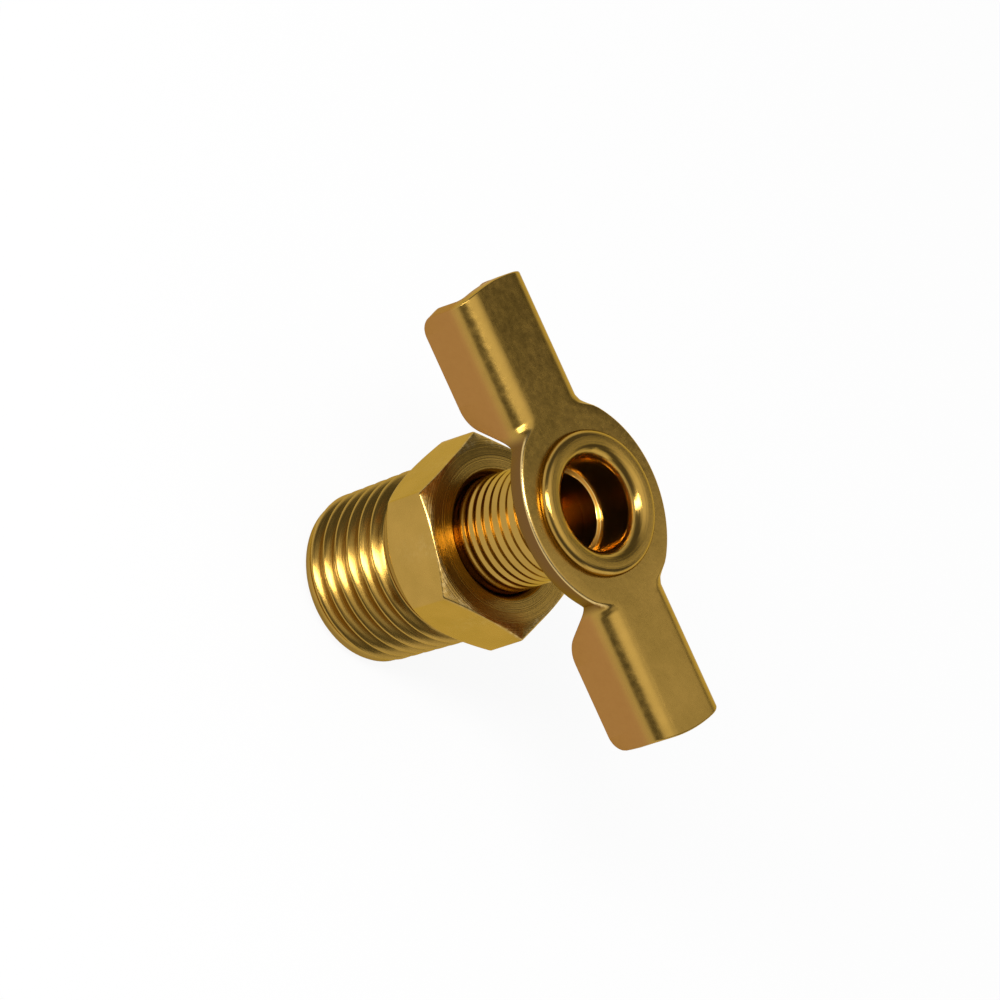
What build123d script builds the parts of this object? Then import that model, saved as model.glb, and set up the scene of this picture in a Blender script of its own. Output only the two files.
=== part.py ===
from build123d import *
from math import atan2, cos, degrees, hypot, radians, sin, sqrt, tan
import os

os.makedirs("parts", exist_ok=True)

# A hollow stem drain cock, standing on its inlet end, valve axis up, wings along X.
# Sizes are millimetres and degrees, and the rest position is part way open.

# Pipe end: quarter inch taper pipe thread, drawn at its crests
pipe_crest_d = 13.25
pipe_taper = 1 / 16
pipe_l = 10.0
pipe_start_chamfer = 0.9
relief_depth = 0.6
relief_l = 0.5

# Hexagon: nine sixteenths of an inch across the flats, a corner at hex_turn from +X
hex_af = 14.29
hex_l = 5.57
hex_turn = 44.0
hex_edge_r = 0.3
hex_back_inset = 0.4
hex_back_angle = 45.0
hex_front_inset = 0.15
hex_front_angle = 19.0

# Passage through the body: inlet, raised seat ring, threaded chamber
inlet_d = 6.4
inlet_countersink = 0.3
seat_wall = 0.5
seat_ring_h = 0.5
seat_z = 2.6
thread_play = 0.05
mouth_countersink = 0.5

# Stem: 28 turns to the inch outside, drilled from the handle's end
stem_d = 9.2
stem_pitch = 0.907
stem_l = 19.95
nose_step = 0.7
nose_l = 3.2
nose_chamfer = 0.4
shoulder_w = 0.5
neck_wall = 0.5
neck_bore_l = 3.35
bore_ledge = 0.4
drain_floor = 0.9
port_d = 2.8
lip_d = 11.44
lip_h = 0.8
lip_edge_t = 0.15
lip_crown_d = 9.7
lip_faces = 3
mouth_faces = 4

# Seat washer on the stem's spigot, kept by the spigot's riveted head
washer_t = 1.0
washer_corner = 0.2
washer_play = 0.05
washer_edge_gap = 0.55
spigot_d = 2.8
head_overhang = 0.7
head_t = 0.6
head_chamfer = 0.3

# Opening: turns between the seat and the rest position
rest_turns = 1.75
closed_gap = 0.05

# Stamped wing handle
sheet_t = 1.35
edge_r = 0.25
hub_w = 14.24
hub_arc_r = 9.2
hub_neck_r = 1.2
hole_play = 0.01
wing_span = 37.3
wing_w = 8.0
wing_depth = 5.15
wing_crown = 0.55
bend_r = 2.0
bend_start = 0.7
bend_run = 2.8
flange_start = 0.2
flange_slope = 51.0
flange_heel_r = 2.5
flange_toe_r = 1.4

# Radii and heights that follow from the sizes
pipe_top_r = pipe_crest_d / 2 + pipe_l * pipe_taper / 2
relief_r = pipe_top_r - relief_depth
hex_z = pipe_l + relief_l
face_z = hex_z + hex_l
hex_corner_r = hex_af / 2 / cos(radians(30))
stem_r = stem_d / 2
nose_r = stem_r - nose_step
neck_r = stem_r - shoulder_w
neck_bore_r = neck_r - neck_wall
drain_r = neck_bore_r - bore_ledge
spigot_r = spigot_d / 2
head_r = spigot_r + head_overhang
chamber_r = stem_r + thread_play
washer_r = chamber_r - washer_edge_gap
inlet_r = inlet_d / 2
seat_r = inlet_r + seat_wall
seat_floor_z = seat_z - seat_ring_h
washer_z = seat_z + closed_gap + rest_turns * stem_pitch
head_top_z = washer_z - washer_play
head_z = head_top_z - head_t
nose_z = washer_z + washer_t + washer_play
thread_z = nose_z + nose_l
drain_z = nose_z + drain_floor
shoulder_z = nose_z + stem_l
plate_z = shoulder_z + sheet_t
neck_bore_z = plate_z - neck_bore_l
lip_top_z = plate_z + lip_h
lip_round_r = lip_h - lip_edge_t
mouth_round_r = lip_crown_d / 2 - neck_bore_r

# Stations along a wing, from where the hub's sides run into it
neck_x = sqrt(hub_arc_r**2 - (wing_w / 2 + hub_arc_r - hub_w / 2) ** 2)
flange_x = neck_x - flange_start
root_x = flange_x - 2 * sheet_t
sharp_x = neck_x + bend_start
full_bend_x = sharp_x + bend_run
tip_x = wing_span / 2
side_x = tip_x - wing_crown
heel_x = flange_x + (wing_depth - sheet_t) / tan(radians(flange_slope))
inner_bend_r = bend_r - sheet_t
flange_z = plate_z - wing_depth


def crowned_cut(start, end):
    """A turned cut from start to end, crowned as part of a ball centred on the axis."""
    rise = end[1] - start[1]
    ball_z = (start[1] + end[1]) / 2 + (end[0] ** 2 - start[0] ** 2) / (2 * rise)
    start_angle = degrees(atan2(start[1] - ball_z, start[0]))
    end_angle = degrees(atan2(end[1] - ball_z, end[0]))
    ball_r = hypot(start[0], start[1] - ball_z)
    return CenterArc((0, ball_z), ball_r, start_angle, end_angle - start_angle)


def quarter_round(centre, radius, start, faces):
    """Points of a quarter round, turned as a few short cones from the start angle on."""
    angles = [radians(start + 90 * i / faces) for i in range(faces + 1)]
    return [(centre[0] + radius * cos(a), centre[1] + radius * sin(a)) for a in angles]


# Hexagon of the body, its corners turned down at both ends
with BuildPart() as hexagon:
    with BuildSketch(Plane.XY.offset(hex_z)):
        RegularPolygon(hex_af / 2, 6, major_radius=False, rotation=hex_turn)
    extrude(amount=hex_l)
    fillet(hexagon.edges().filter_by(Axis.Z), hex_edge_r)
    with BuildSketch(Plane.XZ):
        with BuildLine():
            back_r = hex_af / 2 - hex_back_inset
            front_r = hex_af / 2 - hex_front_inset
            back_rise = (hex_corner_r - back_r) * tan(radians(hex_back_angle))
            front_fall = (hex_corner_r - front_r) * tan(radians(hex_front_angle))
            Polyline((front_r, face_z), (0, face_z), (0, hex_z), (back_r, hex_z))
            back_cut = crowned_cut((back_r, hex_z), (hex_corner_r, hex_z + back_rise))
            front_cut = crowned_cut((hex_corner_r, face_z - front_fall), (front_r, face_z))
            Line(back_cut @ 1, front_cut @ 0)
        make_face()
    revolve(axis=Axis.Z, mode=Mode.INTERSECT)

# Valve body: tapered pipe end, relief groove, hexagon and the stepped passage
with BuildPart() as valve_body:
    with BuildSketch(Plane.XZ):
        with BuildLine():
            start_r = pipe_crest_d / 2 + pipe_start_chamfer * pipe_taper / 2
            Polyline(
                (0, 0),
                (start_r - pipe_start_chamfer, 0),
                (start_r, pipe_start_chamfer),
                (pipe_top_r, pipe_l - relief_depth),
                (relief_r, pipe_l),
                (relief_r, hex_z),
                (0, hex_z),
                close=True,
            )
        make_face()
    revolve(axis=Axis.Z)
    add(hexagon.part)

    with BuildSketch(Plane.XZ):
        with BuildLine():
            Polyline(
                (0, 0),
                (inlet_r + inlet_countersink, 0),
                (inlet_r, inlet_countersink),
                (inlet_r, seat_z),
                (seat_r, seat_z),
                (seat_r, seat_floor_z),
                (chamber_r, seat_floor_z),
                (chamber_r, face_z - mouth_countersink),
                (chamber_r + mouth_countersink, face_z),
                (0, face_z),
                close=True,
            )
        make_face()
    revolve(axis=Axis.Z, mode=Mode.SUBTRACT)

# Stem: riveted head and spigot, ported nose, threaded barrel, neck and rolled lip
with BuildPart() as stem:
    with BuildSketch(Plane.XZ):
        with BuildLine():
            lip_centre = (lip_d / 2 - lip_round_r, plate_z + lip_edge_t)
            Polyline(
                (0, head_z),
                (head_r - head_chamfer, head_z),
                (head_r, head_z + head_chamfer),
                (head_r, head_top_z),
                (spigot_r, head_top_z),
                (spigot_r, nose_z),
                (nose_r - nose_chamfer, nose_z),
                (nose_r, nose_z + nose_chamfer),
                (nose_r, thread_z),
                (stem_r, thread_z + nose_step),
                (stem_r, shoulder_z),
                (neck_r, shoulder_z),
                (neck_r, plate_z),
                (lip_d / 2, plate_z),
                *quarter_round(lip_centre, lip_round_r, 0, lip_faces),
                (0, lip_top_z),
                close=True,
            )
        make_face()
    revolve(axis=Axis.Z)

    # Drain bore, wider where the end was thinned for rolling over
    with BuildSketch(Plane.XZ):
        with BuildLine():
            mouth_centre = (lip_crown_d / 2, lip_top_z - mouth_round_r)
            Polyline(
                (0, lip_top_z),
                *quarter_round(mouth_centre, mouth_round_r, 90, mouth_faces),
                (neck_bore_r, neck_bore_z),
                (drain_r, neck_bore_z),
                (drain_r, drain_z),
                (0, drain_z),
                close=True,
            )
        make_face()
    revolve(axis=Axis.Z, mode=Mode.SUBTRACT)

    # Two ports, drilled straight across the foot of the bore
    with Locations((0, 0, drain_z + port_d / 2)):
        Cylinder(port_d / 2, stem_d, rotation=(90, 0, 0), mode=Mode.SUBTRACT)

# Seat washer: rubber ring that swivels on the spigot
with BuildPart() as seat_washer:
    with BuildSketch(Plane.XY.offset(washer_z)):
        Circle(washer_r)
        Circle(spigot_r + washer_play, mode=Mode.SUBTRACT)
    extrude(amount=washer_t)
    outer_rims = seat_washer.edges().filter_by(GeomType.CIRCLE).group_by(SortBy.RADIUS)[-1]
    chamfer(outer_rims, washer_corner)


def wing_section(x, corner_r):
    """One channel section of a wing at x: plate in front, a flange each side."""
    with BuildSketch(Plane.YZ.offset(x)) as section:
        with Locations((0, plate_z)):
            Rectangle(wing_w, wing_depth, align=(Align.CENTER, Align.MAX))
        fillet(section.vertices().group_by(Axis.Y)[-1], corner_r)
    return section.sketch


def channel_section(x, corner_r):
    """The hollow behind the plate and between the flanges at x."""
    with BuildSketch(Plane.YZ.offset(x)) as section:
        with Locations((0, shoulder_z)):
            Rectangle(wing_w - 2 * sheet_t, wing_depth, align=(Align.CENTER, Align.MAX))
        fillet(section.vertices().group_by(Axis.Y)[-1], corner_r)
    return section.sketch


# One wing: the bend opens out from a sheared edge at the hub to its full radius
with BuildPart() as wing:
    extrude(wing_section(root_x, edge_r), amount=sharp_x - root_x)
    loft([wing_section(sharp_x, edge_r), wing_section(full_bend_x, bend_r)])
    extrude(wing_section(full_bend_x, bend_r), amount=tip_x - full_bend_x)
    extrude(channel_section(root_x, edge_r), amount=sharp_x - root_x, mode=Mode.SUBTRACT)
    loft(
        [channel_section(sharp_x, edge_r), channel_section(full_bend_x, inner_bend_r)],
        mode=Mode.SUBTRACT,
    )
    extrude(
        channel_section(full_bend_x, inner_bend_r),
        amount=tip_x - full_bend_x,
        mode=Mode.SUBTRACT,
    )

    # Side outline of the flanges: sloped heel by the hub, rounded toe at the tip
    with BuildSketch(Plane.XZ):
        with BuildLine():
            FilletPolyline(
                (flange_x, shoulder_z),
                (heel_x, flange_z),
                (side_x, flange_z),
                (side_x, shoulder_z - flange_toe_r),
                radius=[flange_heel_r, flange_toe_r],
            )
            Polyline(
                (side_x, shoulder_z - flange_toe_r),
                (tip_x, shoulder_z),
                (tip_x, plate_z),
                (0, plate_z),
                (0, shoulder_z),
                (flange_x, shoulder_z),
            )
        make_face()
    extrude(amount=wing_w, both=True, mode=Mode.INTERSECT)

    # Crowned tip in plan
    with BuildSketch(Plane.XY.offset(flange_z)):
        with BuildLine():
            ThreePointArc((side_x, -wing_w / 2), (tip_x, 0), (side_x, wing_w / 2))
            Polyline(
                (side_x, wing_w / 2),
                (0, wing_w / 2),
                (0, -wing_w / 2),
                (side_x, -wing_w / 2),
            )
        make_face()
    extrude(amount=wing_depth, mode=Mode.INTERSECT)

# Handle: flat hub with arched sides, a wing each way and the hole for the neck
with BuildPart() as handle:
    with BuildSketch(Plane.XY.offset(shoulder_z)) as hub_outline:
        with Locations((0, hub_w / 2 - hub_arc_r)):
            Circle(hub_arc_r)
        with Locations((0, hub_arc_r - hub_w / 2)):
            Circle(hub_arc_r, mode=Mode.INTERSECT)
        Rectangle(2 * sharp_x, wing_w)
        inner_corners = hub_outline.vertices().filter_by(
            lambda v: abs(abs(v.Y) - wing_w / 2) < edge_r and abs(v.X) < sharp_x - edge_r
        )
        fillet(inner_corners, hub_neck_r)
    extrude(amount=sheet_t)
    rim = handle.faces().sort_by(Axis.Z)[-1].outer_wire().edges()
    chamfer(rim.filter_by(Axis.Y, reverse=True), edge_r)
    add(wing.part)
    add(wing.part.rotate(Axis.Z, 180))
    with BuildSketch(Plane.XY.offset(shoulder_z)):
        Circle(neck_r + hole_play)
    extrude(amount=sheet_t, mode=Mode.SUBTRACT)

valve_body.part.label = "valve_body"
export_step(valve_body.part, "parts/valve_body.step")

stem.part.label = "stem"
export_step(stem.part, "parts/stem.step")

seat_washer.part.label = "seat_washer"
export_step(seat_washer.part, "parts/seat_washer.step")

handle.part.label = "handle"
export_step(handle.part, "parts/handle.step")
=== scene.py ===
from math import acos, atan2, ceil, cos, hypot, radians, sin, sqrt, tan

import bmesh
import bpy
from mathutils import Euler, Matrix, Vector


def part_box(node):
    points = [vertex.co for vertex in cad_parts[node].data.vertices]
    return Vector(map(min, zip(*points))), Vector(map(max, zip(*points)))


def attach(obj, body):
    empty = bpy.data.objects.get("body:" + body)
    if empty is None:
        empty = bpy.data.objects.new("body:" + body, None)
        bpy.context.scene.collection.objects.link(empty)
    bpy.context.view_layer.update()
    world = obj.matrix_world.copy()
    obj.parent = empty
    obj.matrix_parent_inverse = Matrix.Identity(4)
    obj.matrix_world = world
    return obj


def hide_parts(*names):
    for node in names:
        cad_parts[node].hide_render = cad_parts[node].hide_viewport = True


# Brass drain cock: threaded body, hollow threaded stem with a rolled lip, stamped wing handle.
# Lengths are millimetres until a mesh is made, angles are degrees until they are used.
MM = 0.001
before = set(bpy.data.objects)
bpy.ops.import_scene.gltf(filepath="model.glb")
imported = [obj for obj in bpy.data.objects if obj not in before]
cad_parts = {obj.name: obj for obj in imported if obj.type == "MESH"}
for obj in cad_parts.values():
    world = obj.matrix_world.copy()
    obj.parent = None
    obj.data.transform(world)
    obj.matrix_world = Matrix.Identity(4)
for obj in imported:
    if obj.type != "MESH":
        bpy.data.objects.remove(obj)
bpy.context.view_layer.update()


def low(node):
    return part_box(node)[0] / MM


def high(node):
    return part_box(node)[1] / MM


# Heights and reaches read from the solids
face_z = high("valve_body").z
head_z = low("stem").z
lip_top_z = high("stem").z
lip_r = high("stem").x
washer_low_z = low("seat_washer").z
washer_high_z = high("seat_washer").z
plate_z = high("handle").z
tip_x = high("handle").x
hub_half_w = high("handle").y
wing_depth = plate_z - low("handle").z

# Pipe end and hexagon
pipe_crest_d = 13.25
pipe_taper = 1 / 16
pipe_pitch = 25.4 / 18
pipe_thread_depth = 0.85
pipe_crest_flat = 0.0
pipe_crest_z = 3.05
pipe_crest_azimuth = 248.8
pipe_l = 10.0
pipe_start_chamfer = 0.9
pipe_run_out = 0.8
pipe_cut_grows_z = 0.7
pipe_cut_full_z = 2.3
pipe_start_cut_share = 0.3
thread_from_z = 0.02
thread_straight_share = 0.3
relief_depth = 0.6
relief_l = 0.5
hex_af = 14.29
hex_turn = 44.0
hex_edge_r = 0.3
hex_back_inset = 0.4
hex_back_angle = 45.0
hex_front_inset = 0.15
hex_front_angle = 19.0
hex_crown_r = 6.1
hex_crown_angle = 7.0
hex_back_r = 0.2
hex_front_r = 0.25
hex_rim_r = 1.5
hex_crown_round_r = 2.5

# Passage
inlet_r = 3.2
inlet_countersink = 0.3
seat_wall = 0.5
seat_ring_h = 0.5
seat_z = 2.6
chamber_r = 4.65
mouth_countersink = 0.5

# Stem
stem_r = 4.6
stem_pitch = 25.4 / 28
stem_thread_depth = 0.10
stem_crest_flat = 0.0
stem_crest_z = 20.0
stem_crest_azimuth = 250.0
stem_thread_start_l = 1.5
nose_step = 0.7
nose_l = 3.2
nose_chamfer = 0.4
shoulder_w = 0.5
neck_bore_r = 3.6
neck_bore_l = 3.35
drain_r = 3.2
drain_floor = 0.9
port_d = 2.8
lip_edge_t = 0.15
lip_crown_r = 4.85
washer_play = 0.05
spigot_r = 1.4
rivet_r = 2.1
rivet_chamfer = 0.3
rivet_t = 0.6

# Handle
sheet_t = 1.35
rim_r = 0.25
hub_arc_r = 9.2
hub_neck_r = 1.2
hole_r = 4.11
wing_half_w = 4.0
wing_crown = 0.55
bend_r = 2.0
bend_start = -0.5
bend_run = 1.5
bend_room = 0.62
fold_inner_r = 0.05
sheet_edge_r = 0.1
sheet_edge_room = 0.3
flange_start = 0.4
flange_slope = 53.0
flange_heel_r = 2.5
flange_toe_r = 1.4
crown_run = 3.5
tip_round = 0.12

# Fineness of the meshes
corner_steps = 3
bend_steps = 10
sector_columns = 28
stem_column_count = 144
thread_rows_per_pitch = 24
stem_rows_per_pitch = 16
hub_spacing = 0.35
neck_spacing = 0.08
root_spacing = 0.12
root_run = 3.5
wing_spacing = 0.4

# Roundings of turned edges, from a crisp one to a worn one
face_edge_r = 0.01
crisp_r = 0.05
ledge_r = 0.08
small_r = 0.1
worn_r = 0.12

# Finish: painted shade in a thread's root, a painted highlight along the hub's sheared rim
root_painted_shade = 0.25
rim_painted_highlight = 0.8


def unit(v):
    length = hypot(*v)
    return (v[0] / length, v[1] / length)


def corner_arc(before, corner, after, radius, steps, room=0.45):
    """Points of an arc that rounds a corner, held to its share of the shorter side."""
    u = unit((before[0] - corner[0], before[1] - corner[1]))
    v = unit((after[0] - corner[0], after[1] - corner[1]))
    between = acos(max(-1.0, min(1.0, u[0] * v[0] + u[1] * v[1])))
    if between > radians(179.5):
        return [(corner[0], corner[1])] * (steps + 1)
    shorter = min(
        hypot(before[0] - corner[0], before[1] - corner[1]),
        hypot(after[0] - corner[0], after[1] - corner[1]),
    )
    reach = min(radius / tan(between / 2), room * shorter)
    arc_r = reach * tan(between / 2)
    mid = unit((u[0] + v[0], u[1] + v[1]))
    centre_gap = arc_r / sin(between / 2)
    centre = (corner[0] + mid[0] * centre_gap, corner[1] + mid[1] * centre_gap)
    start = (corner[0] + u[0] * reach - centre[0], corner[1] + u[1] * reach - centre[1])
    end = (corner[0] + v[0] * reach - centre[0], corner[1] + v[1] * reach - centre[1])
    sweep = atan2(start[0] * end[1] - start[1] * end[0], start[0] * end[0] + start[1] * end[1])
    points = []
    for i in range(steps + 1):
        a = sweep * i / steps
        points.append(
            (
                centre[0] + start[0] * cos(a) - start[1] * sin(a),
                centre[1] + start[0] * sin(a) + start[1] * cos(a),
            )
        )
    return points


def rounded(corners):
    """A profile from (r, z) points, kept as they are, and (r, z, radius) corners, rounded."""
    points = []
    count = len(corners)
    for i, corner in enumerate(corners):
        if len(corner) == 2:
            points.append(corner)
            continue
        before = corners[(i - 1) % count]
        after = corners[(i + 1) % count]
        points.extend(corner_arc(before, corner, after, corner[2], corner_steps))
    return points


def thread_cut(azimuth, z, pitch, crest_z, crest_azimuth, crest_flat, depth):
    """How far below its crest a right-hand V thread lies at an azimuth and a height."""
    turns = (z - crest_z) / pitch - (azimuth - crest_azimuth) / 360
    off_crest = abs(turns - round(turns)) * pitch
    flank = max(0.0, off_crest - crest_flat / 2) / (pitch / 2 - crest_flat)
    flank = min(1.0, flank)
    eased = flank * flank * (3 - 2 * flank)
    return depth * (thread_straight_share * flank + (1 - thread_straight_share) * eased)


def ramp(value, start, end):
    """0 at start, 1 at end, eased between them."""
    t = max(0.0, min(1.0, (value - start) / (end - start)))
    return t * t * (3 - 2 * t)


def steps_between(start, end, spacing):
    count = ceil((end - start) / spacing)
    return [start + (end - start) * i / count for i in range(count + 1)]


def finished_mesh(name, bm, body, node, material):
    """Makes the object from its mesh, shades it and hands it to its body."""
    bmesh.ops.remove_doubles(bm, verts=bm.verts, dist=1e-7)
    bmesh.ops.dissolve_degenerate(bm, edges=bm.edges, dist=1e-8)
    bmesh.ops.recalc_face_normals(bm, faces=bm.faces)
    for face in bm.faces:
        face.smooth = True
    mesh = bpy.data.meshes.new(name)
    bm.to_mesh(mesh)
    bm.free()
    mesh.materials.append(material)
    piece = bpy.data.objects.new(name, mesh)
    bpy.context.scene.collection.objects.link(piece)
    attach(piece, body)
    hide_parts(node)
    return piece


def weighted_normals(piece):
    """Lets the large faces set the normals, so that flats stay flat beside small roundings."""
    modifier = piece.modifiers.new("weighted normals", "WEIGHTED_NORMAL")
    modifier.weight = 80
    modifier.keep_sharp = True


def turned(azimuths, profile_at, shade_at, closed):
    """A turned mesh: one profile of (r, z) points at each azimuth, with a shade for each point."""
    bm = bmesh.new()
    shade_layer = bm.verts.layers.float_color.new("shade")
    columns = []
    for azimuth in azimuths:
        a = radians(azimuth)
        column = []
        for r, z in profile_at(azimuth):
            vert = bm.verts.new((r * cos(a) * MM, r * sin(a) * MM, z * MM))
            vert[shade_layer] = shade_at(azimuth, r, z)
            column.append(vert)
        columns.append(column)
    rows = len(columns[0])
    last = rows if closed else rows - 1
    for i, column in enumerate(columns):
        beside = columns[(i + 1) % len(columns)]
        for j in range(last):
            k = (j + 1) % rows
            bm.faces.new((column[j], beside[j], beside[k], column[k]))
    return bm


def bore_out(bm, tool_r, start, end):
    """Cuts a round hole from start to end through a mesh and gives the result back."""
    target_mesh = bpy.data.meshes.new("bored")
    bmesh.ops.remove_doubles(bm, verts=bm.verts, dist=1e-7)
    bmesh.ops.recalc_face_normals(bm, faces=bm.faces)
    bm.to_mesh(target_mesh)
    bm.free()
    target = bpy.data.objects.new("bored", target_mesh)
    tool_bm = bmesh.new()
    bmesh.ops.create_cone(
        tool_bm,
        cap_ends=True,
        segments=64,
        radius1=tool_r * MM,
        radius2=tool_r * MM,
        depth=(Vector(end) - Vector(start)).length * MM,
    )
    along = (Vector(end) - Vector(start)).to_track_quat("Z", "Y")
    bmesh.ops.rotate(tool_bm, verts=tool_bm.verts, cent=(0, 0, 0), matrix=along.to_matrix())
    bmesh.ops.translate(tool_bm, verts=tool_bm.verts, vec=(Vector(start) + Vector(end)) / 2 * MM)
    tool_mesh = bpy.data.meshes.new("drill")
    tool_bm.to_mesh(tool_mesh)
    tool_bm.free()
    tool = bpy.data.objects.new("drill", tool_mesh)
    for part in (target, tool):
        bpy.context.scene.collection.objects.link(part)
    cut = target.modifiers.new("bore", "BOOLEAN")
    cut.operation = "DIFFERENCE"
    cut.solver = "EXACT"
    cut.object = tool
    bpy.context.view_layer.update()
    evaluated = target.evaluated_get(bpy.context.evaluated_depsgraph_get())
    result = bmesh.new()
    result.from_mesh(evaluated.to_mesh())
    evaluated.to_mesh_clear()
    for part in (target, tool):
        mesh = part.data
        bpy.data.objects.remove(part)
        bpy.data.meshes.remove(mesh)
    return result


def hex_radius(azimuth):
    """Distance from the axis to the hexagon's side, its corners rounded."""
    off_corner = abs((azimuth - hex_turn + 30) % 60 - 30)
    half_af = hex_af / 2
    on_flat = half_af / cos(radians(30 - off_corner))
    corner_centre = (half_af - hex_edge_r) / cos(radians(30))
    a = radians(off_corner)
    tangent = atan2(hex_edge_r * sin(radians(30)), corner_centre + hex_edge_r * cos(radians(30)))
    if a >= tangent:
        return on_flat
    return corner_centre * cos(a) + sqrt(hex_edge_r**2 - (corner_centre * sin(a)) ** 2)


def hex_azimuths():
    """Azimuths of the body's columns, close together at the hexagon's corners."""
    near = [0.0, 0.45, 0.9, 1.25, 1.8, 3.0]
    wide = steps_between(5.0, 30.0, 25.0 / (sector_columns // 2 - len(near)))
    half = near + wide
    sector = sorted(set([-a for a in half[:-1]] + half))
    return [hex_turn + 60 * k + a for k in range(6) for a in sector]


def pipe_r(azimuth, z):
    """Radius of the pipe end: tapered thread, chamfered start, run-out at the relief."""
    crest_r = pipe_crest_d / 2 + z * pipe_taper / 2
    relief_r = pipe_crest_d / 2 + pipe_l * pipe_taper / 2 - relief_depth
    cut = thread_cut(
        azimuth, z, pipe_pitch, pipe_crest_z, pipe_crest_azimuth, pipe_crest_flat, pipe_thread_depth
    )
    grown = ramp(z, pipe_cut_grows_z, pipe_cut_full_z)
    cut *= pipe_start_cut_share + (1 - pipe_start_cut_share) * grown
    run_out = ramp(z, pipe_l - pipe_run_out, pipe_l)
    r = (crest_r - cut) * (1 - run_out) + relief_r * run_out
    start_r = pipe_crest_d / 2 - pipe_start_chamfer + z
    return min(r, start_r)


def body_profile(azimuth):
    relief_r = pipe_crest_d / 2 + pipe_l * pipe_taper / 2 - relief_depth
    hex_z = pipe_l + relief_l
    side_r = hex_radius(azimuth)
    back_r = hex_af / 2 - hex_back_inset
    front_r = hex_af / 2 - hex_front_inset
    rim_z = face_z - (front_r - hex_crown_r) * tan(radians(hex_crown_angle))
    back_z = hex_z + (side_r - back_r) * tan(radians(hex_back_angle))
    front_z = rim_z - (side_r - front_r) * tan(radians(hex_front_angle))
    seat_r = inlet_r + seat_wall
    floor_z = seat_z - seat_ring_h
    thread = [
        (pipe_r(azimuth, z), z)
        for z in steps_between(thread_from_z, pipe_l, pipe_pitch / thread_rows_per_pitch)
    ]
    return rounded(
        [
            (inlet_r, seat_z, worn_r),
            (inlet_r, inlet_countersink, crisp_r),
            (inlet_r + inlet_countersink, 0, crisp_r),
            (thread[0][0] - thread_from_z, 0, face_edge_r),
            *thread,
            (relief_r, hex_z, small_r),
            (back_r, hex_z, small_r),
            (side_r, back_z, hex_back_r),
            (side_r, front_z, hex_front_r),
            (front_r, rim_z, hex_rim_r),
            (hex_crown_r, face_z, hex_crown_round_r),
            (chamber_r + mouth_countersink, face_z, worn_r),
            (chamber_r, face_z - mouth_countersink, crisp_r),
            (chamber_r, floor_z, small_r),
            (seat_r, floor_z, small_r),
            (seat_r, seat_z, worn_r),
        ]
    )


def body_shade(azimuth, r, z):
    """Painted shade in the thread's root, the relief, the body's bore and chamber and on the start
    chamfer, in the red channel; a painted highlight on the hexagon's front edge in the green.
    """
    crest_r = pipe_crest_d / 2 + z * pipe_taper / 2
    # painted shade: the thread's root, the relief groove, the body's inside and the start chamfer are
    # darkened
    root = root_painted_shade * ramp(crest_r - r, 0.25, pipe_thread_depth) if z < pipe_l else 0.0
    relief = ramp(z, pipe_l - 0.6, pipe_l) * (1 - ramp(z, pipe_l + relief_l, pipe_l + relief_l + 0.5))
    start = 1 - ramp(z, 0.6, 1.3)
    inside = 1.0 if r < chamber_r + 0.1 else 0.0
    # painted highlight: a band along the hexagon's front edge
    edge = 0.0
    if z > pipe_l + relief_l:
        side_r = hex_radius(azimuth)
        front_r = hex_af / 2 - hex_front_inset
        front_z = face_z - (side_r - front_r) * tan(radians(hex_front_angle))
        edge = (1 - ramp(abs(z - front_z), 0.0, 0.25)) * ramp(r, front_r - 0.1, front_r)
    return (max(root, relief, inside, start), edge, 0.0, 1.0)


def stem_profile(azimuth):
    nose_z = washer_high_z + washer_play
    spigot_top_z = washer_low_z - washer_play
    nose_r = stem_r - nose_step
    thread_z = nose_z + nose_l
    shoulder_z = plate_z - sheet_t
    neck_r = stem_r - shoulder_w
    drain_z = nose_z + drain_floor
    ledge_z = plate_z - neck_bore_l
    lip_round = lip_top_z - plate_z - lip_edge_t
    mouth_round = lip_crown_r - neck_bore_r
    thread = []
    for z in steps_between(thread_z + nose_step, shoulder_z, stem_pitch / stem_rows_per_pitch):
        cut = thread_cut(
            azimuth,
            z,
            stem_pitch,
            stem_crest_z,
            stem_crest_azimuth,
            stem_crest_flat,
            stem_thread_depth,
        )
        start = ramp(z, thread_z, thread_z + stem_thread_start_l)
        thread.append((stem_r - cut * start, z))
    lip = [
        (
            lip_r - lip_round + lip_round * cos(radians(a)),
            plate_z + lip_edge_t + lip_round * sin(radians(a)),
        )
        for a in range(0, 91, 10)
    ]
    mouth = [
        (
            lip_crown_r - mouth_round * sin(radians(a)),
            lip_top_z - mouth_round + mouth_round * cos(radians(a)),
        )
        for a in range(0, 91, 6)
    ]
    return rounded(
        [
            (0.0, head_z),
            (rivet_r - rivet_chamfer, head_z, small_r),
            (rivet_r, head_z + rivet_chamfer, small_r),
            (rivet_r, head_z + rivet_t, crisp_r),
            (spigot_r, spigot_top_z, crisp_r),
            (spigot_r, nose_z, crisp_r),
            (nose_r - nose_chamfer, nose_z, small_r),
            (nose_r, nose_z + nose_chamfer, small_r),
            (nose_r, thread_z, small_r),
            *thread,
            (neck_r, shoulder_z),
            (neck_r, plate_z),
            (lip_r, plate_z),
            *lip,
            *mouth,
            (neck_bore_r, ledge_z, ledge_r),
            (drain_r, ledge_z, ledge_r),
            (drain_r, drain_z, small_r),
            (0.0, drain_z),
        ]
    )


def stem_shade(_azimuth, r, z):
    # painted light: the wall of the stem's bore lightened below its mouth
    bore = ramp(lip_top_z - z, 0.3, 2.0) if r < neck_bore_r + 0.5 else 0.0
    bore = bore if z > washer_high_z else 0.0
    return (0.0, 0.0, bore, 1.0)


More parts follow.
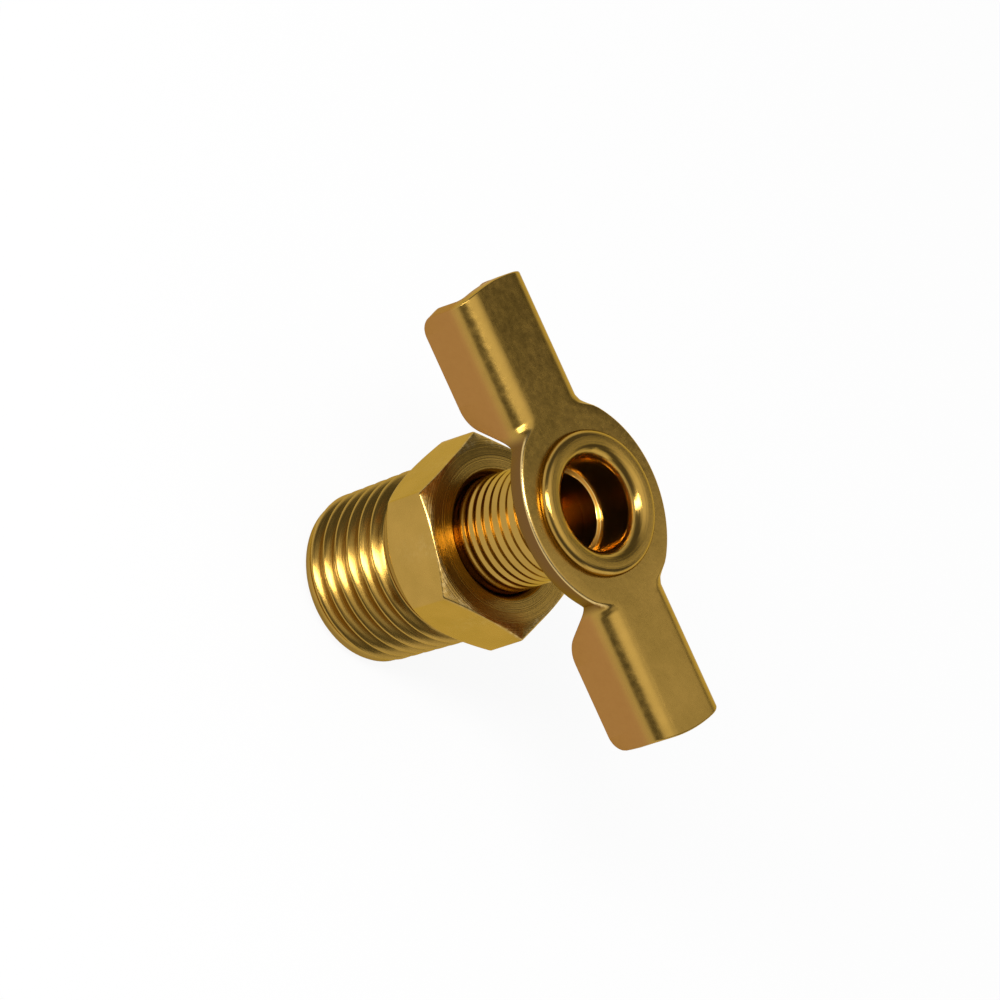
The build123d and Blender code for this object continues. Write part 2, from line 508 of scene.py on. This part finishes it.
def neck_stations():
    """Where the hub's arc meets the fillet and where the fillet meets the wing's side."""
    arc_y = hub_half_w - hub_arc_r
    fillet_y = wing_half_w + hub_neck_r
    fillet_x = sqrt((hub_arc_r + hub_neck_r) ** 2 - (fillet_y - arc_y) ** 2)
    return fillet_x * hub_arc_r / (hub_arc_r + hub_neck_r), fillet_x


def outline_half_w(x):
    """Half the handle's width at x: hub arc, neck fillet, straight wing."""
    arc_end_x, fillet_x = neck_stations()
    if x <= arc_end_x:
        return sqrt(hub_arc_r**2 - x**2) + hub_half_w - hub_arc_r
    if x <= fillet_x:
        return wing_half_w + hub_neck_r - sqrt(hub_neck_r**2 - (fillet_x - x) ** 2)
    return wing_half_w


def flange_profile():
    """Points (x, depth) of the flange's free edge, from its heel by the hub to its toe."""
    neck_x = sqrt(hub_arc_r**2 - (wing_half_w + hub_arc_r - hub_half_w) ** 2)
    heel_top_x = neck_x - flange_start
    heel_x = heel_top_x + (wing_depth - sheet_t) / tan(radians(flange_slope))
    side_x = tip_x - wing_crown
    top = (heel_top_x, sheet_t)
    heel = (heel_x, wing_depth)
    toe = (side_x, wing_depth)
    end = (side_x, sheet_t)
    return [
        top,
        *corner_arc(top, heel, toe, flange_heel_r, 12, room=0.9),
        *corner_arc(heel, toe, end, flange_toe_r, 12),
    ]


FLANGE = flange_profile()


def flange_depth(x):
    """Depth of the flange's free edge below the plate's front at x."""
    if x <= FLANGE[0][0]:
        return FLANGE[0][1]
    for (x0, d0), (x1, d1) in zip(FLANGE, FLANGE[1:]):
        if x <= x1 and x1 > x0:
            return d0 + (d1 - d0) * (x - x0) / (x1 - x0)
    return FLANGE[-1][1]


def handle_stations():
    """Stations from the middle to the tip, close where the outline turns."""
    arc_end_x, fillet_x = neck_stations()
    side_x = tip_x - wing_crown
    stations = steps_between(0.0, arc_end_x, hub_spacing)
    stations += steps_between(arc_end_x, fillet_x, neck_spacing)
    stations += steps_between(fillet_x, fillet_x + root_run, root_spacing)
    stations += steps_between(fillet_x + root_run, side_x - flange_toe_r, wing_spacing)
    stations += [side_x - flange_toe_r * (1 - sin(radians(a))) for a in range(6, 91, 6)]
    return sorted(set(round(x, 5) for x in stations))


def handle_section(x, inset):
    """Outer and inner line of one half section as (y, z) pairs, from the free edge to the middle."""
    neck_x = sqrt(hub_arc_r**2 - (wing_half_w + hub_arc_r - hub_half_w) ** 2)
    half_w = outline_half_w(x) - inset
    inner_w = outline_half_w(x) - sheet_t + inset
    opened = ramp(x, neck_x + bend_start, neck_x + bend_start + bend_run)
    outer_r = rim_r + (bend_r - rim_r) * opened
    inner_r = fold_inner_r + (bend_r - sheet_t - fold_inner_r) * opened
    under_z = plate_z - sheet_t + inset
    bottom_z = plate_z - max(flange_depth(x), sheet_t + 0.01) + inset
    top_z = plate_z - inset
    outer_foot = (half_w, bottom_z)
    outer_top = (half_w, top_z)
    inner_foot = (inner_w, bottom_z)
    inner_top = (inner_w, under_z)
    outer = [
        *corner_arc(inner_foot, outer_foot, outer_top, sheet_edge_r, 2, room=sheet_edge_room),
        *corner_arc(outer_foot, outer_top, (0, top_z), outer_r, bend_steps, room=bend_room),
    ]
    inner = [
        *corner_arc(outer_foot, inner_foot, inner_top, sheet_edge_r, 2, room=sheet_edge_room),
        *corner_arc(inner_foot, inner_top, (0, under_z), inner_r, bend_steps, room=bend_room),
    ]
    for part, z in ((outer, top_z), (inner, under_z)):
        edge_y = part[-1][0]
        part.extend((edge_y * k / 5, z) for k in (4, 3, 2, 1, 0))
    return outer, inner


def handle_mesh():
    """The stamped sheet as a run of closed sections from tip to tip, with the neck's hole."""
    bm = bmesh.new()
    shade_layer = bm.verts.layers.float_color.new("shade")
    side_x = tip_x - wing_crown
    stations = [(x, 0.0) for x in handle_stations()]
    stations[-1] = (side_x - tip_round, 0.0)
    stations = [s for s in stations if s[0] <= side_x - tip_round + 1e-9]
    stations += [(side_x - tip_round * 0.3, tip_round * 0.3), (side_x, tip_round)]
    stations = [(-x, inset) for x, inset in reversed(stations[1:])] + stations

    def ring(x, inset):
        far = abs(x)
        side = 1 if x >= 0 else -1
        outer, inner = handle_section(far, inset)
        crowned = ramp(far, side_x - crown_run, side_x)
        line = [(y, z) for y, z in outer] + [(-y, z) for y, z in reversed(outer[:-1])]
        back = [(y, z) for y, z in inner] + [(-y, z) for y, z in reversed(inner[:-1])]
        verts = []
        for layer, points in (("outer", line), ("inner", back)):
            loop = []
            for y, z in points:
                bulge = wing_crown * crowned * (1 - min(1.0, abs(y) / wing_half_w) ** 2)
                vert = bm.verts.new(((far + bulge) * side * MM, y * MM, z * MM))
                depth = plate_z - z
                # painted shade: the flanges' outer sides and the sheet's inner faces beyond the hub
                # are darker and redder
                below = ramp(depth, 0.9, 1.9) if layer == "outer" else 1.0
                by_hub = 1 - ramp(far, 6.6, 7.6)
                # the hub's sheared edge band: darker, partly its own dull cut face, partly painted
                # shade
                sheared_and_shade_mask = ramp(depth, 0.14, 0.24) * by_hub
                # painted highlight: a thin bright line along the hub's front rim
                rim = (1 - ramp(abs(depth - 0.11), 0.04, 0.1)) * by_hub * rim_painted_highlight
                vert[shade_layer] = (sheared_and_shade_mask, rim, below * (1 - by_hub), 1.0)
                loop.append(vert)
            verts.append(loop)
        return verts

    rings = [ring(x, inset) for x, inset in stations]
    for (outer_a, inner_a), (outer_b, inner_b) in zip(rings, rings[1:]):
        last = len(outer_a) - 1
        for i in range(last):
            bm.faces.new((outer_a[i], outer_a[i + 1], outer_b[i + 1], outer_b[i]))
            bm.faces.new((inner_a[i], inner_b[i], inner_b[i + 1], inner_a[i + 1]))
        bm.faces.new((outer_a[0], outer_b[0], inner_b[0], inner_a[0]))
        bm.faces.new((outer_a[last], inner_a[last], inner_b[last], outer_b[last]))
    for outer, inner in (rings[0], rings[-1]):
        for i in range(len(outer) - 1):
            bm.faces.new((outer[i], inner[i], inner[i + 1], outer[i + 1]))
    return bore_out(bm, hole_r, (0, 0, plate_z - 2 * sheet_t), (0, 0, plate_z + sheet_t))


class Nodes:
    """Short calls for building a material's node tree."""

    def __init__(self, name):
        self.material = bpy.data.materials.new(name)
        self.material.use_nodes = True
        self.tree = self.material.node_tree
        self.shader = self.tree.nodes["Principled BSDF"]

    def add(self, kind, **settings):
        node = self.tree.nodes.new(kind)
        for key, value in settings.items():
            setattr(node, key, value)
        return node

    def link(self, out, into):
        self.tree.links.new(out, into)

    def math(self, operation, a, b=None):
        node = self.add("ShaderNodeMath", operation=operation)
        for socket, value in zip(node.inputs, (a, b)):
            if isinstance(value, (int, float)):
                socket.default_value = value
            elif value is not None:
                self.link(value, socket)
        return node.outputs[0]

    def vector(self, x, y, z):
        node = self.add("ShaderNodeCombineXYZ")
        for socket, value in zip(node.inputs, (x, y, z)):
            if isinstance(value, (int, float)):
                socket.default_value = value
            else:
                self.link(value, socket)
        return node.outputs[0]

    def noise(self, vector, scale, detail=2.0, roughness=0.5):
        node = self.add("ShaderNodeTexNoise")
        node.inputs["Scale"].default_value = scale
        node.inputs["Detail"].default_value = detail
        node.inputs["Roughness"].default_value = roughness
        self.link(vector, node.inputs["Vector"])
        return node.outputs["Fac"]

    def spread(self, value, low_in, high_in, low_out, high_out):
        node = self.add("ShaderNodeMapRange")
        self.link(value, node.inputs["Value"])
        for key, number in (
            ("From Min", low_in),
            ("From Max", high_in),
            ("To Min", low_out),
            ("To Max", high_out),
        ):
            node.inputs[key].default_value = number
        return node.outputs["Result"]

    def mix(self, factor, a, b):
        node = self.add("ShaderNodeMix", data_type="RGBA")
        self.link(factor, node.inputs["Factor"])
        for socket, value in ((node.inputs[6], a), (node.inputs[7], b)):
            if isinstance(value, tuple):
                socket.default_value = (*value, 1.0)
            else:
                self.link(value, socket)
        return node.outputs[2]

    def bump(self, height, strength, distance, normal=None):
        node = self.add("ShaderNodeBump")
        if isinstance(strength, (int, float)):
            node.inputs["Strength"].default_value = strength
        else:
            self.link(strength, node.inputs["Strength"])
        node.inputs["Distance"].default_value = distance
        self.link(height, node.inputs["Height"])
        if normal is not None:
            self.link(normal, node.inputs["Normal"])
        return node.outputs["Normal"]

    def object_axes(self):
        """Object coordinates: the vector, then x, y and z."""
        where = self.add("ShaderNodeTexCoord").outputs["Object"]
        axes = self.add("ShaderNodeSeparateXYZ")
        self.link(where, axes.inputs[0])
        return (where, *axes.outputs)

    def shade_channels(self):
        """The red, green and blue of the mesh's own shade."""
        shade = self.add("ShaderNodeAttribute", attribute_name="shade")
        channels = self.add("ShaderNodeSeparateColor")
        self.link(shade.outputs["Color"], channels.inputs[0])
        return tuple(channels.outputs)


brass_gold = (0.45, 0.27, 0.058)
brass_olive = (0.39, 0.235, 0.048)
# colour of the painted shade in the roots, relief, bore and start chamfer
brass_dark = (0.20, 0.105, 0.016)
# colour of the painted shade on the flanges and the sheet's inner faces
brass_flange_shade = (0.37, 0.18, 0.048)
# colour of the hub's sheared edge: partly its dull cut face, partly painted shade
brass_sheared_and_shade = (0.16, 0.08, 0.024)
edge_tint = (0.85, 0.70, 0.40, 1.0)
# colour of the painted highlights on the hexagon's edge and the hub's rim
brass_painted_highlight = (0.78, 0.57, 0.25)
# colour of the painted light in the stem's bore
brass_painted_bore_light = (0.80, 0.55, 0.20)


def turned_brass(name, rough_low, rough_high):
    """Brass from a lathe: fine rings round the axis, painted shade in the roots and hollows, painted
    highlights on edges, painted light in the stem's bore.
    """
    n = Nodes(name)
    where, x, y, z = n.object_axes()
    painted_shade_mask, edge_highlight_mask, bore_painted_light = n.shade_channels()
    radius = n.math("SQRT", n.math("ADD", n.math("MULTIPLY", x, x), n.math("MULTIPLY", y, y)))
    stretch = 9.0
    ring_place = n.vector(n.math("MULTIPLY", radius, stretch), n.math("MULTIPLY", z, stretch), 0.0)
    rings = n.noise(ring_place, scale=1400, detail=3)
    blotches = n.noise(where, scale=260, detail=4, roughness=0.6)
    specks = n.noise(where, scale=2600, detail=3, roughness=0.6)
    colour = n.mix(n.spread(blotches, 0.35, 0.65, 0, 1), brass_gold, brass_olive)
    # painted shade in the roots, relief, bore and start chamfer
    colour = n.mix(n.spread(painted_shade_mask, 0.0, 1.0, 0.0, 0.7), colour, brass_dark)
    # painted highlight along the hexagon's front edge, speckled
    edge = n.math("MULTIPLY", edge_highlight_mask, n.spread(specks, 0.45, 0.6, 0.1, 0.6))
    colour = n.mix(edge, colour, brass_painted_highlight)
    # painted light in the stem's bore
    colour = n.mix(bore_painted_light, colour, brass_painted_bore_light)
    n.link(colour, n.shader.inputs["Base Color"])
    n.shader.inputs["Metallic"].default_value = 1.0
    n.shader.inputs["Specular Tint"].default_value = edge_tint
    n.link(n.spread(rings, 0.3, 0.7, rough_low, rough_high), n.shader.inputs["Roughness"])
    facing = n.add("ShaderNodeSeparateXYZ")
    n.link(n.add("ShaderNodeNewGeometry").outputs["Normal"], facing.inputs[0])
    turned_face = n.spread(n.math("ABSOLUTE", facing.outputs[2]), 0.85, 0.97, 0.10, 0.7)
    normal = n.bump(rings, turned_face, distance=0.00004)
    normal = n.bump(blotches, strength=0.10, distance=0.0002, normal=normal)
    n.link(normal, n.shader.inputs["Normal"])
    return n.material


def stamped_brass(name):
    """Rolled sheet brass: soft mottling; sheared edges darker, partly their own dull cut face and
    partly painted shade; flanges and inner faces rougher, with painted shade; a painted highlight on
    the hub's rim.
    """
    n = Nodes(name)
    where, x, y, z = n.object_axes()
    sheared_and_shade_mask, rim_highlight_mask, matte_and_shade_mask = n.shade_channels()
    along_grain = 0.12
    grain = n.noise(n.vector(n.math("MULTIPLY", x, along_grain), y, z), scale=9000, detail=3)
    blotches = n.noise(where, scale=230, detail=4, roughness=0.62)
    specks = n.noise(where, scale=1900, detail=3, roughness=0.6)
    colour = n.mix(n.spread(blotches, 0.35, 0.65, 0, 1), brass_gold, brass_olive)
    # painted shade on the flanges and inner faces; the same mask also makes them rougher
    colour = n.mix(matte_and_shade_mask, colour, brass_flange_shade)
    # sheared edge: partly its dull cut face, partly painted shade
    colour = n.mix(sheared_and_shade_mask, colour, brass_sheared_and_shade)
    # painted highlight along the hub's rim
    colour = n.mix(rim_highlight_mask, colour, brass_painted_highlight)
    n.link(colour, n.shader.inputs["Base Color"])
    n.shader.inputs["Metallic"].default_value = 1.0
    n.shader.inputs["Specular Tint"].default_value = edge_tint
    rough = n.spread(specks, 0.3, 0.7, 0.20, 0.30)
    n.link(n.math("ADD", rough, n.math("MULTIPLY", matte_and_shade_mask, 0.2)), n.shader.inputs["Roughness"])
    normal = n.bump(grain, strength=0.05, distance=0.00003)
    normal = n.bump(blotches, strength=0.22, distance=0.0002, normal=normal)
    n.link(normal, n.shader.inputs["Normal"])
    return n.material


def rubber():
    n = Nodes("seat rubber")
    where = n.add("ShaderNodeTexCoord").outputs["Object"]
    fine = n.noise(where, scale=3000, detail=3)
    n.link(n.mix(fine, (0.018, 0.018, 0.018), (0.04, 0.04, 0.04)), n.shader.inputs["Base Color"])
    n.link(n.spread(fine, 0.3, 0.7, 0.55, 0.75), n.shader.inputs["Roughness"])
    n.link(n.bump(fine, strength=0.3, distance=0.00003), n.shader.inputs["Normal"])
    return n.material


body_brass = turned_brass("body brass", 0.16, 0.30)
stem_brass = turned_brass("stem brass", 0.12, 0.20)
sheet_brass = stamped_brass("sheet brass")

body_piece = finished_mesh(
    "threaded_body",
    turned(hex_azimuths(), body_profile, body_shade, closed=True),
    "body",
    "valve_body",
    body_brass,
)
weighted_normals(body_piece)

stem_columns = [360 * i / stem_column_count for i in range(stem_column_count)]
port_z = washer_high_z + washer_play + drain_floor + port_d / 2
stem_solid = turned(stem_columns, stem_profile, stem_shade, closed=False)
stem_solid = bore_out(stem_solid, port_d / 2, (0, -2 * stem_r, port_z), (0, 2 * stem_r, port_z))
stem_piece = finished_mesh("threaded_stem", stem_solid, "stem", "stem", stem_brass)
weighted_normals(stem_piece)

handle_piece = finished_mesh(
    "wing_handle", handle_mesh(), "stem", "handle", sheet_brass
)
weighted_normals(handle_piece)

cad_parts["seat_washer"].data.materials.clear()
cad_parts["seat_washer"].data.materials.append(rubber())


floor_white_share = 0.92


def floor_and_sky():
    """A white floor, pale towards the horizon and dim overhead like a studio's ceiling."""
    bpy.ops.mesh.primitive_circle_add(vertices=96, radius=6.0, fill_type="NGON")
    floor = bpy.context.object
    floor.name = "floor"
    n = Nodes("white floor")
    n.shader.inputs["Base Color"].default_value = (0.85, 0.85, 0.85, 1.0)
    n.shader.inputs["Roughness"].default_value = 0.8
    n.shader.inputs["Specular IOR Level"].default_value = 0.1
    path = n.add("ShaderNodeLightPath")
    seen = n.math("MAXIMUM", path.outputs["Is Camera Ray"], path.outputs["Is Glossy Ray"])
    seen = n.math("MAXIMUM", seen, path.outputs["Is Transmission Ray"])
    white = n.add("ShaderNodeEmission")
    mixed = n.add("ShaderNodeMixShader")
    n.link(n.math("MULTIPLY", seen, floor_white_share), mixed.inputs["Fac"])
    n.link(n.shader.outputs[0], mixed.inputs[1])
    n.link(white.outputs[0], mixed.inputs[2])
    n.link(mixed.outputs[0], n.tree.nodes["Material Output"].inputs["Surface"])
    floor.data.materials.append(n.material)

    world = bpy.data.worlds.new("studio")
    bpy.context.scene.world = world
    world.use_nodes = True
    tree = world.node_tree
    sky = tree.nodes["Background"]
    where = tree.nodes.new("ShaderNodeTexCoord")
    axes = tree.nodes.new("ShaderNodeSeparateXYZ")
    shade = tree.nodes.new("ShaderNodeValToRGB")
    tree.links.new(where.outputs["Generated"], axes.inputs[0])
    tree.links.new(axes.outputs["Z"], shade.inputs["Fac"])
    tree.links.new(shade.outputs["Color"], sky.inputs["Color"])
    stops = shade.color_ramp.elements
    stops[0].position = 0.0
    stops[0].color = (0.95, 0.95, 0.95, 1)
    stops[1].position = 1.0
    stops[1].color = (1.3, 1.3, 1.3, 1)
    for place, level in ((0.22, 0.9), (0.42, 0.13), (0.76, 0.13), (0.92, 1.0)):
        stop = stops.new(place)
        stop.color = (level, level, level, 1)
    sky.inputs["Strength"].default_value = 1.0


def softbox(name, aim, direction, distance, size, power):
    """An area light at a distance from its aim, in a direction, facing back to the aim."""
    lamp = bpy.data.lights.new(name, "AREA")
    lamp.shape = "RECTANGLE"
    lamp.size, lamp.size_y = size
    lamp.energy = power
    holder = bpy.data.objects.new(name, lamp)
    bpy.context.scene.collection.objects.link(holder)
    towards = Vector(direction).normalized()
    holder.location = Vector(aim) * MM + towards * distance
    holder.rotation_euler = towards.to_track_quat("Z", "Y").to_euler()


floor_and_sky()
softbox(
    "key",
    aim=(0, 0, 20),
    direction=(-0.40, -0.55, 0.73),
    distance=0.30,
    size=(0.08, 0.22),
    power=0.83,
)
softbox(
    "side card",
    aim=(0, 0, 5),
    direction=(0.87, 0.08, 0.44),
    distance=0.30,
    size=(0.20, 0.10),
    power=0.045,
)
softbox(
    "back card",
    aim=(26, 0, 26),
    direction=(0.105, 0.695, 0.711),
    distance=0.16,
    size=(0.05, 0.09),
    power=0.009,
)

# Camera: the photograph's view, rolled, through a long lens
camera_azimuth = -8.61
camera_elevation = 45.35
camera_roll = 71.67
lens_mm = 576.0
sensor_mm = 36.0
image_px = 1000
px_per_mm = 13.0327
aim = Vector((-1.244, 8.770, 8.381))

camera_data = bpy.data.cameras.new("camera")
camera_data.lens = lens_mm
camera_data.sensor_width = sensor_mm
camera_data.clip_end = 20
camera = bpy.data.objects.new("camera", camera_data)
bpy.context.scene.collection.objects.link(camera)
turn = (
    Euler((0, 0, radians(camera_azimuth))).to_matrix()
    @ Euler((radians(90 - camera_elevation), 0, 0)).to_matrix()
    @ Euler((0, 0, radians(camera_roll))).to_matrix()
)
camera_distance = lens_mm / sensor_mm * image_px / px_per_mm
camera.location = (aim + turn @ Vector((0, 0, camera_distance))) * MM
camera.rotation_euler = turn.to_euler()
bpy.context.scene.camera = camera

bpy.context.scene.view_settings.view_transform = "Standard"
